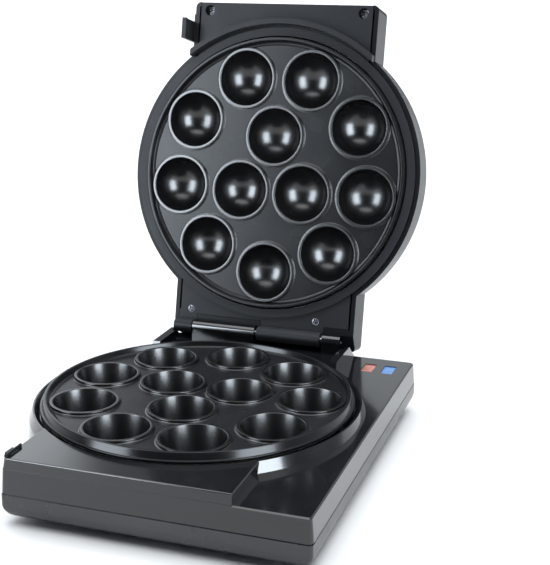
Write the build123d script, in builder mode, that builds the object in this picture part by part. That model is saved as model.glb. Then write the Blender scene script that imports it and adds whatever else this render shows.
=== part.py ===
from build123d import *
from math import atan2, cos, degrees, hypot, radians, sin, sqrt
import os

# Cake pop maker: a base and a hinged lid, each with a cast plate of twelve moulds.
# Every piece is modelled with the lid closed, about the axis of the round plates,
# heights counted from the top of the base's block. The lid is then swung open
# and the whole is set down with the middle of its footprint at the origin.

# Base housing
block_half_width = 68.0
block_front_y = -120.7
block_rear_y = 127.0
block_spread = 1.0
panel_right_x = 111.6
panel_step = 6.3
step_ledge = 0.15
parting_depth = 20.7
parting_spread = 1.1
parting_groove = 0.8
tub_depth = 16.3
tub_round = 9.0
housing_wall = 2.5
housing_corner = 2.0
edge_round = 0.8

# Collar round the base plate
plate_gap = 1.7
collar_width = 4.0
collar_foot = 2.4
collar_lip = 1.0
collar_wall = 1.7
well_slope_depth = 3.0
well_ledge_depth = 5.5

# Hinge
hinge_y = 115.7
hinge_z = 6.6
knuckle_radius = 5.0
pin_radius = 2.2
pin_fit = 0.02
hinge_running_gap = 0.05
open_angle = 102.4
stop_gap = 0.28
arm_back_run = 1.5
lid_knuckles = ((-65.2, -51.4), (-1.1, 46.1))
base_knuckles = ((-50.5, -3.0), (47.9, 61.0))
pin_ends = (-64.6, 60.4)

# Rear cheeks and the floor between them
cheek_inner_x = 62.5
cheek_thin_wall = 2.5
cheek_height = 4.6
cheek_front_y = 78.0
cheek_front_run = 2.5
cheek_thin_y = 108.0
ramp_start_y = 113.5
ramp_end_y = 126.3
ramp_end_z = -5.6
hinge_floor_depth = 1.5
hinge_floor_skin = 2.5

# Plates: twelve moulds, nine round three
mould_ring_radius = 71.16
mould_inner_radius = 26.65
mould_ring_count = 9
mould_inner_count = 3
mould_radius = 19.7
mould_land = 2.0
plate_radius = 97.5
plate_thickness = 3.0
rim_width = 1.7
rim_draft = 1.2
rim_flank = 4.5
plate_flange = 1.2
floor_below_rim = 3.6
land_height = 1.8
casting_wall = 2.2
base_rim_z = 5.4
lid_rim_z = 6.2
cup_depth = 20.0
cup_bottom_radius = 15.8
lid_bump_top_radius = 13.0

# Plate undersides: element rib, screw bosses
element_ring_radius = 49.0
element_width = 4.4
element_crown = 4.0
element_height = 6.0
element_sweep = 320.0
element_depth = 11.8
stud_ring_radius = 52.0
stud_radius = 3.0
lid_element_depth = 5.2
pin_lead_radius = 2.0
plate_boss_ring = 85.0
plate_boss_radius = 4.0
plate_boss_count = 3
centre_post_radius = 4.4

# Reflector pans
pan_gauge = 0.8
pan_gap = 0.9
pan_flange_width = 2.8
base_pan_depth = 26.0
lid_pan_top = 32.3
ear_reach_x = 58.0
ear_reach_y = 92.0
ear_radius = 4.5
pan_boss_radius = 4.0
base_ear_z = -12.0
lid_ear_z = 18.0
lead_hole_radius = 3.2

# Screws
screw_radius = 1.6
screw_head_radius = 3.3
screw_head_height = 2.0
screw_bore_gap = 0.05
screw_free_gap = 0.2
plate_screw_length = 9.0
pan_screw_length = 6.0

# Thermostat, thermal fuses, indicator lamps
thermostat_radius = 8.0
thermostat_height = 9.0
fuse_radius = 2.2
fuse_length = 12.0
fuse_saddle = (7.0, 7.0, 5.3)
fuse_ring_radius = 87.0
fuse_sink = 2.64
fuse_angle = 40.0
thermostat_gap = 0.5
tab_gauge = 0.8
tab_width = 6.0
tab_length = 5.0
lead_length = 4.0
lid_lead_length = 3.0
lid_head_height = 1.5
lid_pan_screw_length = 4.5
window_width = 8.0
window_depth = 15.5
window_front_y = 98.5
red_window_x = 80.0
blue_window_x = 94.0
window_recess = 1.0
window_fit = 0.05
window_flange = 1.5
lamp_radius = 2.5
lamp_height = 3.7
board_size = (22.0, 1.6)
board_z = -15.4
board_post_radius = 3.0
board_post_span = 25.5

# Mains inlet inside the tub
gland_x = 88.0
gland_radius = 5.0
gland_flange = 1.5
gland_bore_radius = 3.2
gland_fit = 0.05
gland_outer_length = 5.0
gland_inner_length = 2.0
terminal_size = (24.0, 12.0, 10.0)
terminal_place = (70.0, 106.0)
terminal_ways = 3
terminal_rib = 1.5

# Feet and the posts that join tub and upper housing
foot_height = 4.0
foot_radius = 7.0
foot_seat = 1.0
foot_x = (-33.0, 87.0)
foot_y = (-104.0, 104.0)
post_spots = [(-56.0, -108.0), (98.0, -108.0), (99.0, 84.0), (-56.0, 115.0)]
post_radius = 5.5
post_boss_radius = 4.0
post_head_depth = 7.0
post_screw_length = 20.0

# Lid housing
lid_half_width = 68.5
lid_front_y = -121.0
lid_rear_y = 124.0
lid_face_z = 11.6
lid_top_z = 40.3
lid_wall = 3.0
drum_margin = 9.6
drum_top_z = 37.0
lid_corner = 4.0
lid_edge_round = 3.0
rear_bevel_start_y = 111.5
bevel_wall_run = 4.5

# Lid inner frame
frame_half_width = 64.2
frame_gap = 0.3
frame_sheet = 2.5
frame_rear_y = 106.7
ring_proud = 2.1
ring_plate_gap = 0.5
skirt_gap = 2.7
skirt_wall = 3.6
skirt_end_x = 68.0
skirt_depth = 7.6
front_screw_place = (57.6, -115.2)
front_well_radius = 3.8
front_well_wall = 0.9
front_well_depth = 6.4
front_well_floor = 2.0
rear_screw_x = (-56.3, 39.7)
rear_screw_y = 103.4
rear_head_radius = 2.8
rear_head_recess = 0.4
rear_boss_depth = 4.4
lid_screw_length = 13.0
lid_boss_radius = 4.2

# Latch
latch_travel = 8.0
latch_plate = 1.3
latch_gap = 0.3
latch_leg_thickness = 2.0
latch_leg_width = 14.5
latch_drum_gap = 10.2
latch_top_z = 24.0
toe_bottom_z = -4.3
toe_height = 2.7
toe_clearance = 0.4
stem_inset = 6.0
stem_length = 4.0
stem_bottom_z = 18.0
stem_height = 4.0
stem_fit = 0.1
stem_head = 2.0
stem_head_thickness = 1.4
guide_margin_y = 3.0
guide_margin_z = 5.0
grip_width = 5.0
grip_proud = 1.5
grip_height = 8.0
catch_rib_front_y = -119.5
catch_rib_rear_y = -103.5
catch_rib_width = 1.8
catch_rib_slope = 0.9
catch_front_y = -116.0
catch_rear_y = -108.2
catch_reach = 1.75
catch_height = 2.0
catch_drop = 0.9
catch_rise = 1.0
catch_inset = 1.0
catch_anchor = 1.5
catch_anchor_depth = 6.0
catch_fit = 0.05

# Derived sizes
tier_left_x = -block_half_width - block_spread
tier_front_y = block_front_y - block_spread
panel_mid_x = (panel_right_x + tier_left_x) / 2
depth_mid_y = (tier_front_y + block_rear_y) / 2
tier_depth = block_rear_y - tier_front_y
panel_width = panel_right_x - tier_left_x
well_radius = plate_radius + plate_gap
collar_radius = well_radius + collar_width
ledge_radius = collar_radius + collar_foot
tub_bottom_z = -parting_depth - tub_depth
ground_z = tub_bottom_z - foot_height
tub_floor_z = tub_bottom_z + housing_wall
skin_z = -panel_step - housing_wall
rebate_radius = collar_radius - collar_wall
lip_radius = collar_radius - collar_lip
ring_start = -90.0 + 180.0 / mould_ring_count
ring_spots = [spot.position for spot in PolarLocations(mould_ring_radius, mould_ring_count, ring_start)]
inner_spots = [spot.position for spot in PolarLocations(mould_inner_radius, mould_inner_count, -90.0)]
mould_spots = ring_spots + inner_spots
land_radius = mould_radius + mould_land
bump_radius = mould_radius + casting_wall
boss_spots = [spot.position for spot in PolarLocations(plate_boss_ring, plate_boss_count, -90.0)]
stud_spots = [spot.position for spot in PolarLocations(stud_ring_radius, mould_inner_count, -90.0)]
base_floor_z = base_rim_z - floor_below_rim
base_land_z = base_floor_z + land_height
flank_foot_z = base_rim_z - rim_flank
base_back_z = base_floor_z - plate_thickness
lid_floor_z = lid_rim_z + floor_below_rim
lid_land_z = lid_floor_z - land_height
lid_flank_foot_z = lid_rim_z + rim_flank
lid_back_z = lid_floor_z + plate_thickness
cup_floor_z = base_land_z - cup_depth
pan_radius = plate_radius + pan_gap + pan_gauge
base_pan_floor_z = -base_pan_depth
ear_spots = [(x, y) for x in (-ear_reach_x, ear_reach_x) for y in (-ear_reach_y, ear_reach_y)]
block_posts = [spot for spot in post_spots if spot[0] < block_half_width]
panel_posts = [spot for spot in post_spots if spot[0] > block_half_width]
foot_spots = [(x, y) for x in foot_x for y in foot_y]
lead_half_angle = (360.0 - element_sweep) / 2
lead_spots = [
    (element_ring_radius * cos(radians(turn)), element_ring_radius * sin(radians(turn)))
    for turn in (-lead_half_angle, lead_half_angle)
]
window_mid_y = window_front_y + window_depth / 2
red_mid_x = red_window_x + window_width / 2
blue_mid_x = blue_window_x + window_width / 2
board_mid_x = (red_mid_x + blue_mid_x) / 2
board_posts = [
    (board_mid_x, window_mid_y - board_post_span / 2),
    (board_mid_x, window_mid_y + board_post_span / 2),
]
drum_radius = plate_radius + drum_margin
frame_ring_radius = drum_radius - lid_wall - frame_gap
frame_opening_radius = plate_radius + ring_plate_gap
skirt_inner_radius = collar_radius + skirt_gap
skirt_outer_radius = skirt_inner_radius + skirt_wall
frame_back_z = lid_face_z + frame_sheet
front_boss_z = lid_face_z + front_well_depth + front_well_floor
rear_boss_z = lid_face_z + rear_boss_depth
front_screw_spots = [(-front_screw_place[0], front_screw_place[1]), front_screw_place]
rear_screw_spots = [(x, rear_screw_y) for x in rear_screw_x]
fuse_turn = radians(fuse_angle)
fuse_spot = (fuse_ring_radius * sin(fuse_turn), -fuse_ring_radius * cos(fuse_turn))
latch_leg_rear_y = -sqrt(drum_radius**2 - lid_half_width**2) - latch_drum_gap
latch_leg_front_y = latch_leg_rear_y - latch_leg_width
stem_front_y = latch_leg_front_y + stem_inset
wall_slope = block_spread / panel_step
slot_length = stem_length + latch_travel + 2 * latch_gap
slot_mid_y = stem_front_y + (stem_length - latch_travel) / 2
latch_inner_x = -lid_half_width - latch_plate - latch_gap
stem_reach = latch_gap + latch_plate + lid_wall + stem_fit
hollow_bevel_run = lid_rear_y - lid_wall - rear_bevel_start_y + bevel_wall_run
stem_top_z = stem_bottom_z + stem_height

# The open lid rests with its rear bevel just off the top edge of the base's rear wall:
# that edge, turned back into the closed lid, is a point of the bevel.
turn_cos = cos(radians(open_angle))
turn_sin = sin(radians(open_angle))
edge_y = block_rear_y - hinge_y
edge_z = -hinge_floor_depth - hinge_z
stop_y = hinge_y + turn_cos * edge_y - turn_sin * edge_z
stop_z = hinge_z + turn_sin * edge_y + turn_cos * edge_z
stop_run = stop_y - rear_bevel_start_y
stop_rise = stop_z + stop_gap * hypot(stop_run, stop_z - lid_face_z) / stop_run - lid_face_z
bevel_slope = stop_rise / stop_run
bevel_end_z = lid_face_z + (lid_rear_y - rear_bevel_start_y) * bevel_slope

# Where the finished pieces stand
shift_x = (panel_right_x - ledge_radius) / 2
reach_y = lid_top_z - hinge_z
open_rear_y = hinge_y + turn_cos * (lid_front_y - hinge_y) + turn_sin * reach_y
shift_y = (tier_front_y - parting_spread + open_rear_y) / 2
base_place = Location((-shift_x, -shift_y, -ground_z))
hinge_turn = Pos(0, hinge_y, hinge_z) * Rot(-open_angle, 0, 0) * Pos(0, -hinge_y, -hinge_z)
lid_place = base_place * hinge_turn


def housing_outline(grow):
    """The lower tier seen from above: a rounded rectangle with the drum's bulge."""
    with Locations((panel_mid_x, depth_mid_y)):
        RectangleRounded(panel_width + 2 * grow, tier_depth + 2 * grow, housing_corner)
    Circle(ledge_radius + grow)


def block_outline(left_x, right_x, front_y, rear_y):
    """A plain rectangle seen from above, given by its four sides."""
    with Locations(((left_x + right_x) / 2, (front_y + rear_y) / 2)):
        Rectangle(right_x - left_x, rear_y - front_y)


def side_slab(points, x_low, x_high, mode=Mode.ADD):
    """A prism between two x positions with an outline given in y and z."""
    with BuildSketch(Plane.YZ.offset(x_low)) as outline:
        with BuildLine():
            Polyline(*points, close=True)
        make_face()
    extrude(outline.sketch, amount=x_high - x_low, mode=mode)


def knuckle(x_low, x_high, bore_gap):
    """One hinge knuckle with its bore for the pin."""
    with BuildSketch(Plane.YZ.offset(x_low)) as outline:
        with Locations((hinge_y, hinge_z)):
            Circle(knuckle_radius)
    extrude(outline.sketch, amount=x_high - x_low)
    with BuildSketch(Plane.YZ.offset(x_low)) as outline:
        with Locations((hinge_y, hinge_z)):
            Circle(pin_radius + bore_gap)
    extrude(outline.sketch, amount=x_high - x_low, mode=Mode.SUBTRACT)


def discs(spots, radius, low_z, high_z, taper=0.0, mode=Mode.ADD):
    """Upright round bars or holes at several spots, between two heights."""
    with BuildSketch(Plane.XY.offset(low_z)) as outline:
        with Locations(*spots):
            Circle(radius)
    extrude(outline.sketch, amount=high_z - low_z, taper=taper, mode=mode)


def screw(spots, head_z, way, length, head_radius, head_height):
    """Plain screws: the head sits outside head_z, the shank runs from it the way given."""
    with BuildSketch(Plane.XY.offset(head_z)) as outline:
        with Locations(*spots):
            Circle(screw_radius)
    extrude(outline.sketch, amount=way * length)
    with BuildSketch(Plane.XY.offset(head_z)) as outline:
        with Locations(*spots):
            Circle(head_radius)
    extrude(outline.sketch, amount=-way * head_height)


# ---------------------------------------------------------------- base body

with BuildPart() as front_block:
    # the block leans out to its foot in front and on the left
    with BuildSketch(Plane.XY.offset(-panel_step)):
        block_outline(
            tier_left_x + step_ledge, block_half_width, tier_front_y + step_ledge, block_rear_y
        )
    with BuildSketch():
        block_outline(-block_half_width, block_half_width, block_front_y, block_rear_y)
    loft(ruled=True)
    left_corners = front_block.edges().filter_by(Axis.X, reverse=True).filter_by(Axis.Y, reverse=True)
    fillet(left_corners.sort_by(Axis.X)[:2], housing_corner)
    fillet(front_block.faces().sort_by(Axis.Z)[-1].edges(), edge_round)

with BuildPart() as panel_bevel:
    tier_height = parting_depth - panel_step
    bevel_lean = parting_spread * edge_round / tier_height
    with BuildSketch(Plane.XY.offset(-panel_step)):
        block_outline(
            block_half_width,
            panel_right_x + parting_spread,
            tier_front_y - parting_spread,
            block_rear_y + parting_spread,
        )
    extrude(amount=-edge_round)
    with BuildSketch(Plane.XY.offset(-panel_step)):
        housing_outline(bevel_lean - edge_round)
    extrude(amount=-edge_round, taper=-45, mode=Mode.SUBTRACT)

with BuildPart() as base_upper_housing:
    wall_draft = degrees(atan2(parting_spread, tier_height))
    with BuildSketch(Plane.XY.offset(-panel_step)):
        housing_outline(0)
    extrude(amount=-tier_height, taper=-wall_draft)
    add(panel_bevel.part, mode=Mode.SUBTRACT)
    add(front_block.part)
    with BuildSketch(Plane.XY.offset(-parting_depth)):
        housing_outline(parting_spread - housing_wall)
    extrude(amount=tier_height - housing_wall, taper=wall_draft, mode=Mode.SUBTRACT)
    with BuildSketch(Plane.XY.offset(skin_z)):
        block_outline(
            housing_wall - block_half_width,
            block_half_width - housing_wall,
            block_front_y + housing_wall,
            block_rear_y - housing_wall,
        )
    extrude(amount=-skin_z - housing_wall - hinge_floor_depth, mode=Mode.SUBTRACT)
    discs([(0, 0)], rebate_radius, skin_z, 0.0, mode=Mode.SUBTRACT)
    # the collar: sloped well, ledge for the pan, outer wall leaning out to the panel
    with BuildSketch(Plane.XZ):
        with BuildLine():
            Polyline(
                (ledge_radius, -panel_step),
                (ledge_radius, skin_z),
                (rebate_radius, skin_z),
                (rebate_radius, -well_ledge_depth),
                (well_radius, -well_ledge_depth),
                (well_radius, -well_slope_depth),
                (lip_radius, 0),
                (collar_radius, 0),
                close=True,
            )
        make_face()
    revolve(axis=Axis.Z)
    # rear cheeks, their ramps, and the sunk floor between them
    cheek = (
        (cheek_front_y, -hinge_floor_depth),
        (cheek_front_y + cheek_front_run, cheek_height),
        (ramp_start_y, cheek_height),
        (ramp_end_y, ramp_end_z),
        (ramp_end_y, -panel_step),
        (cheek_thin_y, -panel_step),
        (cheek_thin_y, -well_ledge_depth),
        (cheek_front_y, -well_ledge_depth),
    )
    side_slab(cheek, cheek_inner_x, block_half_width)
    side_slab(cheek, -block_half_width, -cheek_inner_x)
    ramp_cut = (
        (ramp_start_y, cheek_height),
        (ramp_end_y, ramp_end_z),
        (block_rear_y + parting_spread, ramp_end_z),
        (block_rear_y + parting_spread, cheek_height),
    )
    side_slab(ramp_cut, cheek_inner_x, block_half_width + block_spread, Mode.SUBTRACT)
    side_slab(ramp_cut, tier_left_x - block_spread, -cheek_inner_x, Mode.SUBTRACT)
    with BuildSketch(Plane.XY.offset(-hinge_floor_depth)):
        with Locations((0, (cheek_front_y + block_rear_y) / 2)):
            Rectangle(2 * cheek_inner_x, block_rear_y - cheek_front_y)
        Circle(collar_radius, mode=Mode.SUBTRACT)
    extrude(amount=cheek_height, mode=Mode.SUBTRACT)
    for side in (-1, 1):
        thin_x = sorted((side * cheek_inner_x, side * (block_half_width - cheek_thin_wall)))
        notch = (
            (cheek_thin_y, -hinge_floor_depth),
            (cheek_thin_y, cheek_height),
            (block_rear_y, cheek_height),
            (block_rear_y, -hinge_floor_depth),
        )
        side_slab(notch, thin_x[0], thin_x[1], Mode.SUBTRACT)
    # base knuckles on their saddles
    for x_low, x_high in base_knuckles:
        saddle = (
            (hinge_y - knuckle_radius, hinge_z),
            (hinge_y - knuckle_radius, -hinge_floor_depth),
            (hinge_y + knuckle_radius, -hinge_floor_depth),
            (hinge_y + knuckle_radius, hinge_z),
        )
        side_slab(saddle, x_low, x_high)
        knuckle(x_low, x_high, pin_fit)
    # window openings, board posts, pan bosses and post bosses
    with BuildSketch(Plane.XY.offset(skin_z)):
        with Locations((red_mid_x, window_mid_y), (blue_mid_x, window_mid_y)):
            Rectangle(window_width, window_depth)
    extrude(amount=housing_wall, mode=Mode.SUBTRACT)
    discs(board_posts, board_post_radius, board_z, skin_z)
    discs(ear_spots, pan_boss_radius, base_ear_z, -housing_wall - hinge_floor_depth)
    ear_pilot_top = base_ear_z - pan_gauge + pan_screw_length + screw_bore_gap
    discs(ear_spots, screw_radius + screw_bore_gap, base_ear_z, ear_pilot_top, mode=Mode.SUBTRACT)
    discs(block_posts, post_boss_radius, -parting_depth, -housing_wall - hinge_floor_depth)
    discs(panel_posts, post_boss_radius, -parting_depth, skin_z)
    post_pilot_top = tub_bottom_z + post_head_depth + post_screw_length + screw_bore_gap
    discs(
        post_spots,
        screw_radius + screw_bore_gap,
        -parting_depth,
        post_pilot_top,
        mode=Mode.SUBTRACT,
    )
    # upper half of the gland's hole
    with BuildSketch(Plane.XZ.offset(-block_rear_y - parting_spread)):
        with Locations((gland_x, -parting_depth)):
            Circle(gland_radius + gland_fit)
    extrude(amount=2 * housing_wall, mode=Mode.SUBTRACT)
    # slot for the latch catch
    with BuildSketch(Plane.XY.offset(-catch_anchor_depth)):
        with Locations(
            (
                -block_half_width + catch_inset + catch_anchor / 2,
                (catch_front_y + catch_rear_y) / 2,
            )
        ):
            Rectangle(catch_anchor + 2 * catch_fit, catch_rear_y - catch_front_y + 2 * catch_fit)
    extrude(amount=catch_anchor_depth, mode=Mode.SUBTRACT)
base_upper_housing.part.label = "base_upper_housing"

with BuildPart() as tub_hollow:
    with BuildSketch(Plane.XY.offset(-parting_depth)):
        housing_outline(parting_spread - housing_wall)
    extrude(amount=housing_wall - tub_depth)
    fillet(tub_hollow.faces().sort_by(Axis.Z)[0].edges(), tub_round - housing_wall)

with BuildPart() as base_lower_housing:
    with BuildSketch(Plane.XY.offset(-parting_depth)):
        housing_outline(parting_spread)
    extrude(amount=-tub_depth)
    fillet(base_lower_housing.faces().sort_by(Axis.Z)[0].edges(), tub_round)
    # a shadow groove under the parting line
    with BuildSketch(Plane.XY.offset(-parting_depth)) as groove:
        housing_outline(parting_spread)
    with BuildSketch(Plane.XY.offset(-parting_depth)) as groove_core:
        housing_outline(parting_spread - parting_groove)
    extrude(groove.sketch - groove_core.sketch, amount=-parting_groove, mode=Mode.SUBTRACT)
    add(tub_hollow.part, mode=Mode.SUBTRACT)
    discs(post_spots, post_radius, tub_floor_z, -parting_depth)
    discs(
        post_spots,
        screw_head_radius + screw_free_gap,
        tub_bottom_z,
        tub_bottom_z + post_head_depth,
        mode=Mode.SUBTRACT,
    )
    discs(
        post_spots,
        screw_radius + screw_free_gap,
        tub_bottom_z,
        -parting_depth,
        mode=Mode.SUBTRACT,
    )
    discs(foot_spots, foot_radius, tub_bottom_z, tub_bottom_z + foot_seat, mode=Mode.SUBTRACT)
    with BuildSketch(Plane.XZ.offset(-block_rear_y - parting_spread)):
        with Locations((gland_x, -parting_depth)):
            Circle(gland_radius + gland_fit)
    extrude(amount=2 * housing_wall, mode=Mode.SUBTRACT)
base_lower_housing.part.label = "base_lower_housing"

with BuildPart() as base_baking_plate:
    rim_outer = plate_radius - rim_draft
    rim_inner = rim_outer - rim_width
    with BuildSketch(Plane.XZ):
        with BuildLine():
            Polyline(
                (0, base_floor_z),
                (rim_inner - rim_draft, base_floor_z),
                (rim_inner, base_rim_z),
                (rim_outer, base_rim_z),
                (plate_radius, flank_foot_z),
                (plate_radius + plate_flange, flank_foot_z),
                (plate_radius + plate_flange, base_back_z),
                (0, base_back_z),
                close=True,
            )
        make_face()
    revolve(axis=Axis.Z)
    discs(mould_spots, land_radius, base_back_z, base_land_z)
    # cups hang below as drafted bumps
    cup_draft = degrees(atan2(mould_radius - cup_bottom_radius, cup_depth))
    bump_bottom_z = cup_floor_z - casting_wall
    discs(mould_spots, bump_radius, base_back_z, bump_bottom_z, taper=cup_draft)
    discs(stud_spots, stud_radius, base_back_z - element_depth, base_back_z)
    discs(boss_spots, plate_boss_radius, base_pan_floor_z + pan_gauge, base_back_z)
    discs([(0, 0)], centre_post_radius, bump_bottom_z, base_back_z)
    discs(mould_spots, mould_radius, base_land_z, cup_floor_z, taper=cup_draft, mode=Mode.SUBTRACT)
    discs(
        boss_spots,
        screw_radius + screw_bore_gap,
        base_pan_floor_z + pan_gauge,
        base_pan_floor_z + plate_screw_length + screw_bore_gap,
        mode=Mode.SUBTRACT,
    )
base_baking_plate.part.label = "base_baking_plate"


def heating_element(root_z, way, lead_end_z):
    """A pressed tubular ring, wide in its groove, with a cold lead at each end."""
    start = radians(lead_half_angle)
    section_plane = Plane(
        origin=(0, 0, 0), x_dir=(cos(start), sin(start), 0), z_dir=(sin(start), -cos(start), 0)
    )
    with BuildSketch(section_plane) as outline:
        with BuildLine():
            Polyline(
                (element_ring_radius - element_width / 2, root_z),
                (element_ring_radius + element_width / 2, root_z),
                (element_ring_radius + element_crown / 2, root_z + way * element_height),
                (element_ring_radius - element_crown / 2, root_z + way * element_height),
                close=True,
            )
        make_face()
    revolve(outline.sketch, axis=Axis.Z, revolution_arc=element_sweep)
    discs(lead_spots, pin_lead_radius, root_z + way * element_height / 2, lead_end_z)


def reflector_pan(flange_z, floor_z, ear_z, way):
    """A pressed pan: flange, wall and floor, four ears, holes for screws and leads."""
    flat = way * pan_gauge
    with BuildSketch(Plane.XZ) as outline:
        with BuildLine():
            Polyline(
                (0, floor_z),
                (pan_radius, floor_z),
                (pan_radius, flange_z + flat),
                (pan_radius + pan_flange_width - pan_gauge, flange_z + flat),
                (pan_radius + pan_flange_width - pan_gauge, flange_z),
                (pan_radius - pan_gauge, flange_z),
                (pan_radius - pan_gauge, floor_z - flat),
                (0, floor_z - flat),
                close=True,
            )
        make_face()
    revolve(outline.sketch, axis=Axis.Z)
    for x, y in ear_spots:
        reach = hypot(x, y)
        with BuildSketch(Plane.XY.offset(ear_z)) as outline:
            with Locations(Location((x * pan_radius / reach, y * pan_radius / reach), degrees(atan2(y, x)))):
                Rectangle(2 * (reach - pan_radius), 2 * ear_radius)
            with Locations((x, y)):
                Circle(ear_radius)
            Circle(pan_radius - pan_gauge / 2, mode=Mode.SUBTRACT)
            with Locations((x, y)):
                Circle(screw_radius + screw_bore_gap, mode=Mode.SUBTRACT)
        extrude(outline.sketch, amount=flat)
    cut_low = min(floor_z, floor_z - flat)
    cut_high = max(floor_z, floor_z - flat)
    discs(boss_spots, screw_radius + screw_bore_gap, cut_low, cut_high, mode=Mode.SUBTRACT)
    discs(lead_spots, lead_hole_radius, cut_low, cut_high, mode=Mode.SUBTRACT)


def fuse_clamp(back_z, way):
    """A saddle under the plate with a thermal fuse lying through it."""
    width, depth, drop = fuse_saddle
    with BuildSketch(Plane.XY.offset(back_z)) as outline:
        with Locations(fuse_spot):
            Rectangle(width, depth)
    extrude(outline.sketch, amount=way * drop)
    with BuildSketch(Plane.YZ.offset(fuse_spot[0] - fuse_length / 2)) as outline:
        with Locations((fuse_spot[1], back_z + way * fuse_sink)):
            Circle(fuse_radius)
    extrude(outline.sketch, amount=fuse_length)


with BuildPart() as base_heating_element:
    heating_element(base_back_z - element_depth, -1, base_pan_floor_z - lead_length)
base_heating_element.part.label = "base_heating_element"

with BuildPart() as base_reflector_pan:
    reflector_pan(-well_ledge_depth, base_pan_floor_z, base_ear_z, -1)
    discs(
        [(0, 0)],
        thermostat_radius + thermostat_gap,
        base_pan_floor_z,
        base_pan_floor_z + pan_gauge,
        mode=Mode.SUBTRACT,
    )
base_reflector_pan.part.label = "base_reflector_pan"

with BuildPart() as base_thermostat:
    discs([(0, 0)], thermostat_radius, bump_bottom_z - thermostat_height, bump_bottom_z)
    with BuildSketch(Plane.XY.offset(bump_bottom_z - thermostat_height)):
        with Locations((-thermostat_radius / 2, 0), (thermostat_radius / 2, 0)):
            Rectangle(tab_gauge, tab_width)
    extrude(amount=-tab_length)
base_thermostat.part.label = "base_thermostat"

with BuildPart() as base_thermal_fuse:
    fuse_clamp(base_back_z, -1)
base_thermal_fuse.part.label = "base_thermal_fuse"

with BuildPart() as base_plate_screws:
    screw(boss_spots, base_pan_floor_z, 1, plate_screw_length, screw_head_radius, screw_head_height)
base_plate_screws.part.label = "base_plate_screws"

with BuildPart() as base_pan_screws:
    screw(
        ear_spots, base_ear_z - pan_gauge, 1, pan_screw_length, screw_head_radius, screw_head_height
    )
base_pan_screws.part.label = "base_pan_screws"


def window(mid_x):
    """A lens set just below the panel's face, with a flange behind the skin."""
    lens_x = window_width - 2 * window_fit
    lens_y = window_depth - 2 * window_fit
    with BuildSketch(Plane.XY.offset(skin_z)) as outline:
        with Locations((mid_x, window_mid_y)):
            Rectangle(lens_x, lens_y)
    extrude(outline.sketch, amount=housing_wall - window_recess)
    with BuildSketch(Plane.XY.offset(skin_z)) as outline:
        with Locations((mid_x, window_mid_y)):
            Rectangle(lens_x + 2 * window_flange, lens_y + 2 * window_flange)
    extrude(outline.sketch, amount=-window_flange)


with BuildPart() as red_indicator_window:
    window(red_mid_x)
red_indicator_window.part.label = "red_indicator_window"

with BuildPart() as blue_indicator_window:
    window(blue_mid_x)
blue_indicator_window.part.label = "blue_indicator_window"

with BuildPart() as indicator_board:
    with BuildSketch(Plane.XY.offset(board_z)):
        with Locations((board_mid_x, window_mid_y)):
            Rectangle(board_size[0], board_post_span + 2 * board_post_radius)
    extrude(amount=-board_size[1])
indicator_board.part.label = "indicator_board"

with BuildPart() as indicator_lamps:
    discs(
        [(red_mid_x, window_mid_y), (blue_mid_x, window_mid_y)],
        lamp_radius,
        board_z,
        board_z + lamp_height,
    )
indicator_lamps.part.label = "indicator_lamps"

with BuildPart() as terminal_block:
    with BuildSketch(Plane.XY.offset(tub_floor_z)):
        with Locations(terminal_place):
            Rectangle(terminal_size[0], terminal_size[1])
    extrude(amount=terminal_size[2])
    with BuildSketch(Plane.XY.offset(tub_floor_z + terminal_size[2])):
        with Locations(terminal_place):
            with GridLocations(terminal_size[0] / terminal_ways, 0, terminal_ways, 1):
                Rectangle(terminal_size[0] / terminal_ways - terminal_rib, terminal_size[1] / 2)
    extrude(amount=-terminal_size[2] / 2, mode=Mode.SUBTRACT)
terminal_block.part.label = "terminal_block"

with BuildPart() as cord_gland:
    wall_outside_y = block_rear_y + parting_spread
    wall_lean = parting_spread * (gland_radius + gland_flange) / tier_height
    neck_start_y = wall_outside_y - housing_wall - wall_lean - gland_fit
    neck_length = housing_wall + wall_lean + 2 * gland_fit
    gland_steps = (
        (wall_outside_y + gland_fit, gland_radius + gland_flange, gland_outer_length),
        (neck_start_y, gland_radius, neck_length),
        (neck_start_y - gland_inner_length, gland_radius + gland_flange, gland_inner_length),
    )
    for start_y, radius, length in gland_steps:
        with BuildSketch(Plane.XZ.offset(-start_y)):
            with Locations((gland_x, -parting_depth)):
                Circle(radius)
                Circle(gland_bore_radius, mode=Mode.SUBTRACT)
        extrude(amount=-length)
cord_gland.part.label = "cord_gland"

with BuildPart() as rubber_feet:
    discs(foot_spots, foot_radius, ground_z, tub_bottom_z + foot_seat)
rubber_feet.part.label = "rubber_feet"

with BuildPart() as base_housing_screws:
    screw(
        post_spots,
        tub_bottom_z + post_head_depth,
        1,
        post_screw_length,
        screw_head_radius,
        screw_head_height,
    )
base_housing_screws.part.label = "base_housing_screws"

with BuildPart() as hinge_pin:
    with BuildSketch(Plane.YZ.offset(pin_ends[0])):
        with Locations((hinge_y, hinge_z)):
            Circle(pin_radius)
    extrude(amount=pin_ends[1] - pin_ends[0])
hinge_pin.part.label = "hinge_pin"

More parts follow.
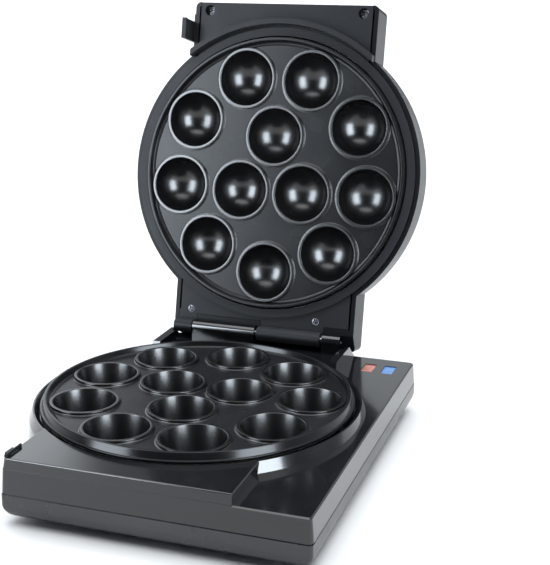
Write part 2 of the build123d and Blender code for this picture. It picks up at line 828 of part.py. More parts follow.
with BuildPart() as latch_catch:
    lip_foot_x = -block_half_width - wall_slope * catch_drop - catch_fit
    anchor_x = -block_half_width + catch_inset
    lip = (
        (anchor_x + catch_anchor, 0),
        (anchor_x + catch_anchor, -catch_anchor_depth),
        (anchor_x, -catch_anchor_depth),
        (anchor_x, 0),
        (-block_half_width, 0),
        (lip_foot_x, -catch_drop),
        (-block_half_width - catch_reach, -catch_drop),
        (-block_half_width - catch_reach, catch_rise),
        (-block_half_width, catch_rise),
    )
    with BuildSketch(Plane.XZ.offset(-catch_front_y)) as lip_outline:
        with BuildLine():
            Polyline(*lip, close=True)
        make_face()
    extrude(lip_outline.sketch, amount=catch_front_y - catch_rear_y)
    rib = (
        (-block_half_width + catch_rib_width, 0),
        (-block_half_width, 0),
        (-block_half_width, catch_rise),
        (-block_half_width + catch_rib_slope, catch_height),
        (-block_half_width + catch_rib_width, catch_height),
    )
    with BuildSketch(Plane.XZ.offset(-catch_rib_front_y)) as rib_outline:
        with BuildLine():
            Polyline(*rib, close=True)
        make_face()
    extrude(rib_outline.sketch, amount=catch_rib_front_y - catch_rib_rear_y)
latch_catch.part.label = "latch_catch"

# ----------------------------------------------------------------- lid body

with BuildPart() as drum:
    discs([(0, 0)], drum_radius, lid_face_z, drum_top_z)
    fillet(drum.faces().sort_by(Axis.Z)[-1].edges(), lid_edge_round)

with BuildPart() as lid_outer_housing:
    block_side = (
        (lid_front_y, lid_face_z),
        (rear_bevel_start_y, lid_face_z),
        (lid_rear_y, bevel_end_z),
        (lid_rear_y, lid_top_z),
        (lid_front_y, lid_top_z),
    )
    side_slab(block_side, -lid_half_width, lid_half_width)
    fillet(lid_outer_housing.edges().filter_by(Axis.Z), lid_corner)
    fillet(lid_outer_housing.faces().sort_by(Axis.Z)[-1].edges(), lid_edge_round)
    add(drum.part)
    hollow_side = (
        (lid_front_y + lid_wall, lid_face_z),
        (rear_bevel_start_y - bevel_wall_run, lid_face_z),
        (lid_rear_y - lid_wall, lid_face_z + hollow_bevel_run * bevel_slope),
        (lid_rear_y - lid_wall, lid_top_z - lid_wall),
        (lid_front_y + lid_wall, lid_top_z - lid_wall),
    )
    side_slab(hollow_side, -lid_half_width + lid_wall, lid_half_width - lid_wall, Mode.SUBTRACT)
    discs([(0, 0)], drum_radius - lid_wall, lid_face_z, drum_top_z - lid_wall, mode=Mode.SUBTRACT)
    # screw bosses from the top, then the seat for the inner frame along the front
    discs(front_screw_spots, lid_boss_radius, front_boss_z, lid_top_z - lid_wall)
    discs(rear_screw_spots, lid_boss_radius, rear_boss_z, lid_top_z - lid_wall)
    discs(
        front_screw_spots,
        front_well_radius + front_well_wall + frame_gap / 2,
        lid_face_z,
        front_boss_z,
        mode=Mode.SUBTRACT,
    )
    pilot_top = front_boss_z + lid_screw_length
    discs(
        front_screw_spots + rear_screw_spots,
        screw_radius + screw_bore_gap,
        rear_boss_z,
        pilot_top,
        mode=Mode.SUBTRACT,
    )
    with BuildSketch(Plane.XY.offset(lid_face_z)):
        with Locations((0, lid_front_y)):
            Rectangle(2 * (frame_half_width + frame_gap), 2 * (lid_wall + frame_gap))
    extrude(amount=frame_sheet + frame_gap, mode=Mode.SUBTRACT)
    # notches for the frame's hinge arms
    for x_low, x_high in lid_knuckles:
        arm_notch = (
            (rear_bevel_start_y - 2 * bevel_wall_run, lid_face_z),
            (lid_rear_y, lid_face_z),
            (lid_rear_y, frame_back_z + frame_gap),
            (rear_bevel_start_y - 2 * bevel_wall_run, frame_back_z + frame_gap),
        )
        side_slab(arm_notch, x_low - frame_gap, x_high + frame_gap, Mode.SUBTRACT)
    # slot for the latch's stem
    with BuildSketch(Plane.YZ.offset(-lid_half_width)):
        with Locations((slot_mid_y, (stem_bottom_z + stem_top_z) / 2)):
            Rectangle(slot_length, stem_height + 2 * stem_fit)
    extrude(amount=lid_wall, mode=Mode.SUBTRACT)
lid_outer_housing.part.label = "lid_outer_housing"

with BuildPart() as lid_inner_frame:
    with BuildSketch(Plane.XY.offset(lid_face_z)):
        with Locations((0, (lid_front_y + frame_gap + frame_rear_y) / 2)):
            Rectangle(2 * frame_half_width, frame_rear_y - lid_front_y - frame_gap)
    extrude(amount=frame_sheet)
    discs([(0, 0)], frame_ring_radius, lid_face_z - ring_proud, frame_back_z)
    # arc skirt on the handle side
    with BuildSketch(Plane.XY.offset(lid_face_z - skirt_depth)):
        Circle(skirt_outer_radius)
        Circle(skirt_inner_radius, mode=Mode.SUBTRACT)
        with Locations((0, -skirt_outer_radius)):
            Rectangle(2 * skirt_end_x, 2 * skirt_outer_radius, mode=Mode.INTERSECT)
    extrude(amount=skirt_depth)
    discs([(0, 0)], frame_opening_radius, lid_face_z - ring_proud, frame_back_z, mode=Mode.SUBTRACT)
    # arms and knuckles
    for x_low, x_high in lid_knuckles:
        arm = (
            (frame_rear_y - frame_sheet, lid_face_z),
            (hinge_y - knuckle_radius, lid_face_z),
            (hinge_y - knuckle_radius, hinge_z),
            (hinge_y + arm_back_run, hinge_z),
            (hinge_y + arm_back_run, frame_back_z),
            (frame_rear_y - frame_sheet, frame_back_z),
        )
        side_slab(arm, x_low, x_high)
        knuckle(x_low, x_high, hinge_running_gap)
    # deep wells for the front screws
    discs(
        front_screw_spots,
        front_well_radius + front_well_wall,
        lid_face_z,
        front_boss_z,
    )
    discs(
        front_screw_spots,
        front_well_radius,
        lid_face_z,
        front_boss_z - front_well_floor,
        mode=Mode.SUBTRACT,
    )
    # shallow seats for the rear screws
    discs(rear_screw_spots, lid_boss_radius, lid_face_z, rear_boss_z)
    discs(
        rear_screw_spots,
        rear_head_radius + screw_free_gap,
        lid_face_z,
        lid_face_z + rear_head_recess + screw_head_height,
        mode=Mode.SUBTRACT,
    )
    discs(
        front_screw_spots + rear_screw_spots,
        screw_radius + screw_bore_gap,
        lid_face_z,
        front_boss_z,
        mode=Mode.SUBTRACT,
    )
    # bosses that carry the pan's ears
    discs(ear_spots, pan_boss_radius, lid_face_z + frame_sheet / 2, lid_ear_z)
    discs(ear_spots, screw_radius + screw_bore_gap, frame_back_z, lid_ear_z, mode=Mode.SUBTRACT)
lid_inner_frame.part.label = "lid_inner_frame"

with BuildPart() as lid_baking_plate:
    with BuildSketch(Plane.XZ):
        with BuildLine():
            Polyline(
                (0, lid_floor_z),
                (rim_inner - rim_draft, lid_floor_z),
                (rim_inner, lid_rim_z),
                (rim_outer, lid_rim_z),
                (plate_radius, lid_flank_foot_z),
                (plate_radius, lid_back_z),
                (0, lid_back_z),
                close=True,
            )
        make_face()
    revolve(axis=Axis.Z)
    discs(mould_spots, land_radius, lid_land_z, lid_back_z)
    # half-ball moulds under drafted bumps
    bump_top_z = lid_land_z + mould_radius + casting_wall
    bump_draft = degrees(atan2(bump_radius - lid_bump_top_radius, bump_top_z - lid_back_z))
    discs(mould_spots, bump_radius, lid_back_z, bump_top_z, taper=bump_draft)
    discs(stud_spots, stud_radius, lid_back_z, lid_back_z + lid_element_depth)
    discs(boss_spots, plate_boss_radius, lid_back_z, lid_pan_top - pan_gauge)
    with Locations(*[spot + Vector(0, 0, lid_land_z) for spot in mould_spots]):
        Sphere(mould_radius, mode=Mode.SUBTRACT)
    discs(
        boss_spots,
        screw_radius + screw_bore_gap,
        lid_pan_top - plate_screw_length - screw_bore_gap,
        lid_pan_top - pan_gauge,
        mode=Mode.SUBTRACT,
    )
lid_baking_plate.part.label = "lid_baking_plate"

with BuildPart() as lid_heating_element:
    heating_element(lid_back_z + lid_element_depth, 1, lid_pan_top + lid_lead_length)
lid_heating_element.part.label = "lid_heating_element"

with BuildPart() as lid_reflector_pan:
    reflector_pan(frame_back_z, lid_pan_top, lid_ear_z, 1)
lid_reflector_pan.part.label = "lid_reflector_pan"

with BuildPart() as lid_thermal_fuse:
    fuse_clamp(lid_back_z, 1)
lid_thermal_fuse.part.label = "lid_thermal_fuse"

with BuildPart() as lid_plate_screws:
    screw(boss_spots, lid_pan_top, -1, plate_screw_length, screw_head_radius, lid_head_height)
lid_plate_screws.part.label = "lid_plate_screws"

with BuildPart() as lid_pan_screws:
    screw(ear_spots, lid_ear_z + pan_gauge, -1, lid_pan_screw_length, screw_head_radius, screw_head_height)
lid_pan_screws.part.label = "lid_pan_screws"

with BuildPart() as lid_front_screws:
    screw(
        front_screw_spots,
        front_boss_z - front_well_floor,
        1,
        lid_screw_length,
        screw_head_radius,
        screw_head_height,
    )
lid_front_screws.part.label = "lid_front_screws"

with BuildPart() as lid_rear_screws:
    screw(
        rear_screw_spots,
        lid_face_z + rear_head_recess + screw_head_height,
        1,
        lid_screw_length,
        rear_head_radius,
        screw_head_height,
    )
lid_rear_screws.part.label = "lid_rear_screws"

with BuildPart() as latch_guide:
    with BuildSketch(Plane.YZ.offset(-lid_half_width)):
        with Locations((slot_mid_y, (stem_bottom_z + stem_top_z) / 2)):
            Rectangle(slot_length + 2 * guide_margin_y, stem_height + 2 * guide_margin_z)
            Rectangle(slot_length, stem_height + 2 * stem_fit, mode=Mode.SUBTRACT)
    extrude(amount=-latch_plate)
latch_guide.part.label = "latch_guide"

# -------------------------------------------------------------- latch body

with BuildPart() as latch_slider:
    toe_end_x = -block_half_width + wall_slope * toe_bottom_z - toe_clearance
    leg = (
        (latch_inner_x, latch_top_z),
        (latch_inner_x - latch_leg_thickness, latch_top_z),
        (latch_inner_x - latch_leg_thickness, toe_bottom_z),
        (toe_end_x, toe_bottom_z),
        (toe_end_x, toe_bottom_z + toe_height),
        (latch_inner_x, toe_bottom_z + toe_height),
    )
    with BuildSketch(Plane.XZ.offset(-latch_leg_front_y)):
        with BuildLine():
            Polyline(*leg, close=True)
        make_face()
    extrude(amount=latch_leg_front_y - latch_leg_rear_y)
    with BuildSketch(Plane.YZ.offset(latch_inner_x)):
        with Locations((stem_front_y + stem_length / 2, (stem_bottom_z + stem_top_z) / 2)):
            Rectangle(stem_length, stem_height)
    extrude(amount=stem_reach)
    with BuildSketch(Plane.YZ.offset(latch_inner_x + stem_reach)):
        with Locations((stem_front_y + stem_length / 2, (stem_bottom_z + stem_top_z) / 2)):
            Rectangle(stem_length + 2 * stem_head, stem_height + 2 * stem_head)
    extrude(amount=stem_head_thickness)
    with BuildSketch(Plane.YZ.offset(latch_inner_x - latch_leg_thickness)):
        with Locations((stem_front_y, (stem_bottom_z + stem_top_z) / 2)):
            Rectangle(grip_width, grip_height)
    extrude(amount=-grip_proud)
latch_slider.part.label = "latch_slider"

# Write every piece where it stands
os.makedirs("parts", exist_ok=True)
for piece in (
    base_upper_housing,
    base_lower_housing,
    base_baking_plate,
    base_heating_element,
    base_reflector_pan,
    base_thermostat,
    base_thermal_fuse,
    base_plate_screws,
    base_pan_screws,
    red_indicator_window,
    blue_indicator_window,
    indicator_board,
    indicator_lamps,
    terminal_block,
    cord_gland,
    rubber_feet,
    base_housing_screws,
    hinge_pin,
    latch_catch,
):
    name = piece.part.label
    piece.part = piece.part.moved(base_place)
    piece.part.label = name
    export_step(piece.part, f"parts/{name}.step")
for piece in (
    lid_outer_housing,
    lid_inner_frame,
    lid_baking_plate,
    lid_heating_element,
    lid_reflector_pan,
    lid_thermal_fuse,
    lid_plate_screws,
    lid_pan_screws,
    lid_front_screws,
    lid_rear_screws,
    latch_guide,
    latch_slider,
):
    name = piece.part.label
    piece.part = piece.part.moved(lid_place)
    piece.part.label = name
    export_step(piece.part, f"parts/{name}.step")
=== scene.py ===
import math

import bmesh
import bpy
import numpy as np
from mathutils import Matrix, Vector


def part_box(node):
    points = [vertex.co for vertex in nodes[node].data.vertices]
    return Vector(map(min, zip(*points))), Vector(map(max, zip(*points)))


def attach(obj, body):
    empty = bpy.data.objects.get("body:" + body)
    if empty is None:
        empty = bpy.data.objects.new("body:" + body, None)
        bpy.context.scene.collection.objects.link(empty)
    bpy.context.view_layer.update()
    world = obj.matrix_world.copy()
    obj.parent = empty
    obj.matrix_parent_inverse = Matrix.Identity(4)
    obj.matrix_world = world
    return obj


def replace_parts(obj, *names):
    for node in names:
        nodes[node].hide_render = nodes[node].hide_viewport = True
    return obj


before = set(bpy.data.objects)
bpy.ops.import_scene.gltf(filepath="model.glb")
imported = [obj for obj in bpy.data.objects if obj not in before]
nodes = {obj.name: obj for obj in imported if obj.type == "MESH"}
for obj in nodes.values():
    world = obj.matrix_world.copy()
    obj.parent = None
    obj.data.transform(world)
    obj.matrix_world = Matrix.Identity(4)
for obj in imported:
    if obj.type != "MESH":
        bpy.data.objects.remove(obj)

bpy.context.view_layer.update()
scene = bpy.context.scene
scene.view_settings.view_transform = "Standard"
print("frame loaded:", len(nodes), "nodes")

cameraLook = {
    "place": (0.2595, -0.67172, 0.3107),
    "turnLeft": 0.323,
    "lookDown": 0.276,
    "roll": 0.006,
    "lens": 73.59,
    "sensor": 36.0,  # the long side
    "clip": (0.01, 100.0),
}


# Forward is +Y turned left, then down; right and up follow it, both turned by the roll.
def aimCamera(look):
    turn, down, roll = look["turnLeft"], look["lookDown"], look["roll"]
    ahead = np.array([-math.sin(turn), math.cos(turn), 0.0])
    aside = np.array([math.cos(turn), math.sin(turn), 0.0])
    above = np.array([0.0, 0.0, 1.0])
    forward = ahead * math.cos(down) - above * math.sin(down)
    upward = above * math.cos(down) + ahead * math.sin(down)
    right = aside * math.cos(roll) + upward * math.sin(roll)
    top = upward * math.cos(roll) - aside * math.sin(roll)
    data = bpy.data.cameras.new("camera")
    data.sensor_width, data.lens = look["sensor"], look["lens"]
    data.clip_start, data.clip_end = look["clip"]
    camera = bpy.data.objects.new("camera", data)
    scene.collection.objects.link(camera)
    matrix = np.eye(4)
    matrix[:3, :3] = np.stack([right, top, -forward], axis=1)
    matrix[:3, 3] = look["place"]
    camera.matrix_world = Matrix(matrix.tolist())
    return camera


scene.camera = aimCamera(cameraLook)
print("camera set")

# Pieces are worked out in millimetres with the lid shut, about the axis of the round
# plates, heights from the top of the base's block. The base only moves over; the lid
# also swings open about its hinge.
stand = {
    "rimHeight": 5.4,
    "hingeY": 115.7,
    "hingeZ": 6.6,
    "openAngle": 102.4,
}
plateLow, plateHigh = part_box("base_baking_plate")
plateMiddle = np.array(
    [
        (plateLow.x + plateHigh.x) / 2,
        (plateLow.y + plateHigh.y) / 2,
        plateHigh.z - stand["rimHeight"] / 1000,
    ]
)


# Millimetres about the plate's axis, moved over to where the base stands, in metres.
def onBase(points):
    return np.asarray(points, float) / 1000 + plateMiddle


# Turned back about the hinge line by the open angle, then moved over as the base is.
def onLid(points):
    points = np.array(points, float)
    turn = math.radians(stand["openAngle"])
    y, z = points[..., 1] - stand["hingeY"], points[..., 2] - stand["hingeZ"]
    points[..., 1] = stand["hingeY"] + math.cos(turn) * y + math.sin(turn) * z
    points[..., 2] = stand["hingeZ"] - math.sin(turn) * y + math.cos(turn) * z
    return onBase(points)


# Places round a circle at equal angles.
def ringSpots(radius, count, start):
    angles = np.radians(start + 360.0 * np.arange(count) / count)
    return np.stack([radius * np.cos(angles), radius * np.sin(angles)], axis=1)


# A polyline whose corners are arcs. An arc starts radius times tan(half the turn) before its corner, and its
# points are middle + (sin((1 - t) sweep) first + sin(t sweep) last) / sin(sweep), with t from 0 to 1.
def roundedPath(corners, radii, steps=7, closed=False):
    corners = np.array(corners, float)
    count = len(corners)
    path = []
    for i in range(count):
        here, radius = corners[i], radii[i]
        if radius == 0 or (not closed and i in (0, count - 1)):
            path.append(here[None, :])
            continue
        back, ahead = corners[i - 1] - here, corners[(i + 1) % count] - here
        backLong, aheadLong = np.linalg.norm(back), np.linalg.norm(ahead)
        back, ahead = back / backLong, ahead / aheadLong
        half = math.acos(max(-1.0, min(1.0, float(back @ ahead)))) / 2
        reach = min(radius / math.tan(half), 0.49 * backLong, 0.49 * aheadLong)
        radius = reach * math.tan(half)
        middle = here + (back + ahead) / np.linalg.norm(back + ahead) * radius / math.sin(half)
        first, last = here + back * reach - middle, here + ahead * reach - middle
        sweep = math.pi - 2 * half
        t = np.linspace(0, 1, steps)[:, None]
        arc = middle + (np.sin((1 - t) * sweep) * first + np.sin(t * sweep) * last) / math.sin(sweep)
        path.append(arc)
    return np.concatenate(path)


# A profile of radius and height swept round an upright axis at each spot:
# x = spot x + radius cos(angle), y = spot y + radius sin(angle).
def turned(profile, spots, count):
    profile, spots = np.array(profile, float), np.array(spots, float)
    angles = 2 * np.pi * np.arange(count) / count
    x = spots[:, 0, None, None] + np.cos(angles)[None, :, None] * profile[None, None, :, 0]
    y = spots[:, 1, None, None] + np.sin(angles)[None, :, None] * profile[None, None, :, 0]
    z = np.broadcast_to(profile[None, None, :, 1], x.shape)
    return list(np.stack([x, y, z], axis=-1))


# Each grid of points becomes a sheet of four-sided faces, wrapped round where asked. Points closer than
# the weld (metres) are joined, which closes seams and poles.
def makePiece(name, grids, body, material, wrap=(True, False), weld=2e-7):
    points, faces, offset = [], [], 0
    for grid in grids:
        rows, columns = grid.shape[:2]
        index = np.arange(rows * columns).reshape(rows, columns) + offset
        if wrap[0]:
            index = np.concatenate([index, index[:1]], axis=0)
        if wrap[1]:
            index = np.concatenate([index, index[:, :1]], axis=1)
        quads = np.stack([index[:-1, :-1], index[1:, :-1], index[1:, 1:], index[:-1, 1:]], axis=-1)
        points.append(grid.reshape(-1, 3))
        faces.append(quads.reshape(-1, 4))
        offset += rows * columns
    mesh = bpy.data.meshes.new(name)
    mesh.from_pydata(np.concatenate(points).tolist(), [], np.concatenate(faces).tolist())
    work = bmesh.new()
    work.from_mesh(mesh)
    bmesh.ops.remove_doubles(work, verts=work.verts, dist=weld)
    bmesh.ops.recalc_face_normals(work, faces=work.faces)
    work.to_mesh(mesh)
    work.free()
    mesh.polygons.foreach_set("use_smooth", np.ones(len(mesh.polygons), bool))
    mesh.materials.append(material)
    piece = bpy.data.objects.new(name, mesh)
    scene.collection.objects.link(piece)
    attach(piece, body)
    print(name, len(mesh.polygons), "faces")
    return piece


# A Principled material with its plain values on its own sockets. In every look, noise scales are per metre,
# depths are in metres, and gleam is how strongly the surface mirrors.
def startMaterial(name, look):
    material = bpy.data.materials.new(name)
    material.use_nodes = True
    tree = material.node_tree
    tree.nodes.clear()
    output = tree.nodes.new("ShaderNodeOutputMaterial")
    shader = tree.nodes.new("ShaderNodeBsdfPrincipled")
    tree.links.new(shader.outputs["BSDF"], output.inputs["Surface"])
    shader.inputs["Metallic"].default_value = look.get("metal", 0.0)
    shader.inputs["Specular IOR Level"].default_value = look.get("gleam", 0.5)
    shader.inputs["Coat Weight"].default_value = look.get("coat", 0.0)
    shader.inputs["Coat Roughness"].default_value = look.get("coatRough", 0.1)
    return material, tree, shader


# Noise over the piece's own coordinates, squeezed along any axis.
def objectNoise(tree, scale, detail=3.0, stretch=(1, 1, 1), kind="ShaderNodeTexNoise"):
    place = tree.nodes.new("ShaderNodeTexCoord")
    mapping = tree.nodes.new("ShaderNodeMapping")
    mapping.inputs["Scale"].default_value = stretch
    noise = tree.nodes.new(kind)
    noise.inputs["Scale"].default_value = scale
    if "Detail" in noise.inputs:
        noise.inputs["Detail"].default_value = detail
    tree.links.new(place.outputs["Object"], mapping.inputs["Vector"])
    tree.links.new(mapping.outputs["Vector"], noise.inputs["Vector"])
    return noise


# The noise's usable range mapped to low..high.
def spread(tree, source, low, high, fromLow=0.3, fromHigh=0.7):
    node = tree.nodes.new("ShaderNodeMapRange")
    node.inputs["From Min"].default_value = fromLow
    node.inputs["From Max"].default_value = fromHigh
    node.inputs["To Min"].default_value = low
    node.inputs["To Max"].default_value = high
    tree.links.new(source, node.inputs["Value"])
    return node.outputs["Result"]


# A ramp between two colours by a noise value.
def blendColours(tree, source, first, second, fromLow=0.35, fromHigh=0.65):
    ramp = tree.nodes.new("ShaderNodeValToRGB")
    ramp.color_ramp.elements[0].position = fromLow
    ramp.color_ramp.elements[1].position = fromHigh
    ramp.color_ramp.elements[0].color = (*first, 1)
    ramp.color_ramp.elements[1].color = (*second, 1)
    tree.links.new(source, ramp.inputs["Fac"])
    return ramp.outputs["Color"]


# Several heights stacked: each layer is (height source, depth in metres).
def bumps(tree, shader, layers):
    last = None
    for source, depth in layers:
        bump = tree.nodes.new("ShaderNodeBump")
        bump.inputs["Distance"].default_value = depth
        bump.inputs["Strength"].default_value = 1.0
        tree.links.new(source, bump.inputs["Height"])
        if last is not None:
            tree.links.new(last.outputs["Normal"], bump.inputs["Normal"])
        last = bump
    tree.links.new(last.outputs["Normal"], shader.inputs["Normal"])


# Moulded plastic: slow colour drift, smudged gloss, a fine grain and the slight waviness of a moulding.
def mouldedPlastic(name, look):
    material, tree, shader = startMaterial(name, look)
    drift = objectNoise(tree, look["driftScale"], detail=4.0)
    smudge = objectNoise(tree, look["smudgeScale"], detail=6.0)
    grain = objectNoise(tree, look["grainScale"], detail=2.0)
    wave = objectNoise(tree, look["waveScale"], detail=1.0)
    colour = blendColours(tree, drift.outputs["Fac"], look["dark"], look["light"])
    tree.links.new(colour, shader.inputs["Base Color"])
    tree.links.new(spread(tree, smudge.outputs["Fac"], *look["rough"]), shader.inputs["Roughness"])
    layers = [(wave.outputs["Fac"], look["waveDepth"]), (grain.outputs["Fac"], look["grainDepth"])]
    bumps(tree, shader, layers)
    return material


glossLook = {
    "dark": (0.0050, 0.0054, 0.0064),
    "light": (0.0075, 0.0080, 0.0095),
    "driftScale": 9.0,
    "smudgeScale": 26.0,
    "rough": (0.11, 0.17),
    "grainScale": 1900.0,
    "grainDepth": 0.000004,
    "waveScale": 22.0,
    "waveDepth": 0.00008,
    "coat": 0.2,
    "coatRough": 0.04,
}
satinLook = {
    "dark": (0.0300, 0.0325, 0.0370),
    "light": (0.0400, 0.0430, 0.0490),
    "driftScale": 12.0,
    "smudgeScale": 30.0,
    "rough": (0.28, 0.38),
    "grainScale": 2600.0,
    "grainDepth": 0.000012,
    "waveScale": 25.0,
    "waveDepth": 0.00008,
    "gleam": 0.07,
}
shellLook = {
    "dark": (0.0140, 0.0150, 0.0172),
    "light": (0.0205, 0.0220, 0.0250),
    "driftScale": 9.0,
    "smudgeScale": 26.0,
    "rough": (0.20, 0.28),
    "grainScale": 1900.0,
    "grainDepth": 0.000005,
    "waveScale": 22.0,
    "waveDepth": 0.00008,
    "gleam": 0.06,
}
tubLook = {
    "dark": (0.0240, 0.0255, 0.0295),
    "light": (0.0330, 0.0350, 0.0400),
    "driftScale": 10.0,
    "smudgeScale": 24.0,
    "rough": (0.24, 0.34),
    "grainScale": 2200.0,
    "grainDepth": 0.000010,
    "waveScale": 20.0,
    "waveDepth": 0.0001,
}
rubberLook = {
    "dark": (0.012, 0.012, 0.012),
    "light": (0.030, 0.029, 0.028),
    "driftScale": 60.0,
    "smudgeScale": 140.0,
    "rough": (0.62, 0.88),
    "grainScale": 3000.0,
    "grainDepth": 0.00003,
    "waveScale": 160.0,
    "waveDepth": 0.0001,
    "gleam": 0.35,
}
glossyBlack = mouldedPlastic("glossyBlack", glossLook)
satinBlack = mouldedPlastic("satinBlack", satinLook)
shellBlack = mouldedPlastic("shellBlack", shellLook)
tubBlack = mouldedPlastic("tubBlack", tubLook)
footRubber = mouldedPlastic("footRubber", rubberLook)

coatingLook = {
    "dark": (0.0095, 0.0100, 0.0116),
    "light": (0.0150, 0.0160, 0.0185),
    "driftScale": 16.0,
    "fleckScale": 1500.0,
    "fleck": (0.06, 0.063, 0.07),
    "fleckShare": 0.09,
    "rough": (0.23, 0.29),
    "smudgeScale": 38.0,
    "gleam": 0.17,
    "peelScale": 900.0,
    "peelDepth": 0.000015,
    "grainScale": 3200.0,
    "grainDepth": 0.000010,
}
# The moulds' coating is the plate's non-stick film with its colours and flecks painted darker: painted shade
# in the hollows of the moulds.
mouldShadedLook = {
    "dark": (0.0040, 0.0041, 0.0046),
    "light": (0.0065, 0.0067, 0.0075),
    "driftScale": 30.0,
    "fleckScale": 1500.0,
    "fleck": (0.015, 0.015, 0.017),
    "fleckShare": 0.07,
    "rough": (0.23, 0.28),
    "smudgeScale": 60.0,
    "gleam": 0.60,
    "peelScale": 800.0,
    "peelDepth": 0.000012,
    "grainScale": 3200.0,
    "grainDepth": 0.000004,
}
rimCoatingLook = {
    "dark": (0.0090, 0.0095, 0.0108),
    "light": (0.0140, 0.0148, 0.0165),
    "driftScale": 16.0,
    "fleckScale": 1500.0,
    "fleck": (0.03, 0.032, 0.036),
    "fleckShare": 0.07,
    "rough": (0.15, 0.21),
    "smudgeScale": 50.0,
    "gleam": 0.22,
    "peelScale": 900.0,
    "peelDepth": 0.000010,
    "grainScale": 3200.0,
    "grainDepth": 0.000004,
}


# Non-stick coating: dark film with fine mica flecks, orange peel under a fine tooth, gloss that varies
# in patches.
def castCoating(name, look):
    material, tree, shader = startMaterial(name, look)
    drift = objectNoise(tree, look["driftScale"], detail=5.0)
    smudge = objectNoise(tree, look["smudgeScale"], detail=5.0)
    peel = objectNoise(tree, look["peelScale"], detail=1.0)
    grain = objectNoise(tree, look["grainScale"], detail=2.0)
    fleck = objectNoise(tree, look["fleckScale"], kind="ShaderNodeTexVoronoi")
    film = blendColours(tree, drift.outputs["Fac"], look["dark"], look["light"])
    shine = tree.nodes.new("ShaderNodeMath")
    shine.operation = "LESS_THAN"
    shine.inputs[1].default_value = look["fleckShare"]
    tree.links.new(fleck.outputs["Distance"], shine.inputs[0])
    mix = tree.nodes.new("ShaderNodeMix")
    mix.data_type = "RGBA"
    tree.links.new(shine.outputs["Value"], mix.inputs["Factor"])
    tree.links.new(film, mix.inputs["A"])
    mix.inputs["B"].default_value = (*look["fleck"], 1)
    tree.links.new(mix.outputs["Result"], shader.inputs["Base Color"])
    tree.links.new(spread(tree, smudge.outputs["Fac"], *look["rough"]), shader.inputs["Roughness"])
    layers = [(peel.outputs["Fac"], look["peelDepth"]), (grain.outputs["Fac"], look["grainDepth"])]
    bumps(tree, shader, layers)
    return material


plateCoating = castCoating("plateCoating", coatingLook)
# The moulds get the darker copy of the coating, whose colour holds painted shade for their hollows.
mouldShadedCoating = castCoating("mouldShadedCoating", mouldShadedLook)
rimCoating = castCoating("rimCoating", rimCoatingLook)

screwLook = {
    "metal": 1.0,
    "dark": (0.045, 0.045, 0.050),
    "light": (0.095, 0.096, 0.104),
    "rough": (0.28, 0.44),
    "stretch": (1, 1, 1),
    "scale": 420.0,
    "depth": 0.000012,
}
panLook = {
    "metal": 1.0,
    "dark": (0.45, 0.45, 0.46),
    "light": (0.62, 0.62, 0.63),
    "rough": (0.28, 0.46),
    "stretch": (1, 14, 1),
    "scale": 130.0,
    "depth": 0.000015,
}
elementLook = {
    "metal": 1.0,
    "dark": (0.10, 0.095, 0.088),
    "light": (0.21, 0.19, 0.165),
    "rough": (0.38, 0.60),
    "stretch": (1, 1, 1),
    "scale": 260.0,
    "depth": 0.00003,
}
pinLook = {
    "metal": 1.0,
    "dark": (0.30, 0.30, 0.31),
    "light": (0.42, 0.42, 0.43),
    "rough": (0.18, 0.32),
    "stretch": (30, 1, 1),
    "scale": 90.0,
    "depth": 0.000008,
}


# Metal with drawn or turned marks: stretched noise for colour, gloss and height, and finer pits over it.
def workedMetal(name, look):
    material, tree, shader = startMaterial(name, look)
    marks = objectNoise(tree, look["scale"], detail=6.0, stretch=look["stretch"])
    pits = objectNoise(tree, look["scale"] * 6, detail=3.0)
    colour = blendColours(tree, marks.outputs["Fac"], look["dark"], look["light"])
    tree.links.new(colour, shader.inputs["Base Color"])
    tree.links.new(spread(tree, marks.outputs["Fac"], *look["rough"]), shader.inputs["Roughness"])
    bumps(tree, shader, [(marks.outputs["Fac"], look["depth"]), (pits.outputs["Fac"], look["depth"] / 3)])
    return material


screwSteel = workedMetal("screwSteel", screwLook)
panSteel = workedMetal("panSteel", panLook)
elementSteel = workedMetal("elementSteel", elementLook)
pinSteel = workedMetal("pinSteel", pinLook)

redLensLook = {
    "dark": (0.40, 0.125, 0.085),
    "light": (0.52, 0.185, 0.135),
    "blotchScale": 110.0,
    "smudgeScale": 200.0,
    "ribScale": 420.0,
    "ribDepth": 0.00003,
    "rough": (0.16, 0.30),
    "coat": 0.3,
}
blueLensLook = {
    "dark": (0.070, 0.205, 0.50),
    "light": (0.110, 0.280, 0.66),
    "blotchScale": 110.0,
    "smudgeScale": 200.0,
    "ribScale": 420.0,
    "ribDepth": 0.00003,
    "rough": (0.16, 0.30),
    "coat": 0.3,
}


# A tinted window over a lamp: soft blotches of colour, smudged gloss and fine ribs along Y.
def tintedLens(name, look):
    material, tree, shader = startMaterial(name, look)
    blotch = objectNoise(tree, look["blotchScale"], detail=2.0)
    place = tree.nodes.new("ShaderNodeTexCoord")
    ribs = tree.nodes.new("ShaderNodeTexWave")
    ribs.wave_type = "BANDS"
    ribs.bands_direction = "X"
    ribs.inputs["Scale"].default_value = look["ribScale"]
    tree.links.new(place.outputs["Object"], ribs.inputs["Vector"])
    smudge = objectNoise(tree, look["smudgeScale"], detail=3.0)
    colour = blendColours(tree, blotch.outputs["Fac"], look["dark"], look["light"])
    tree.links.new(colour, shader.inputs["Base Color"])
    tree.links.new(spread(tree, smudge.outputs["Fac"], *look["rough"]), shader.inputs["Roughness"])
    bumps(tree, shader, [(ribs.outputs["Fac"], look["ribDepth"])])
    return material


redTint = tintedLens("redTint", redLensLook)
blueTint = tintedLens("blueTint", blueLensLook)

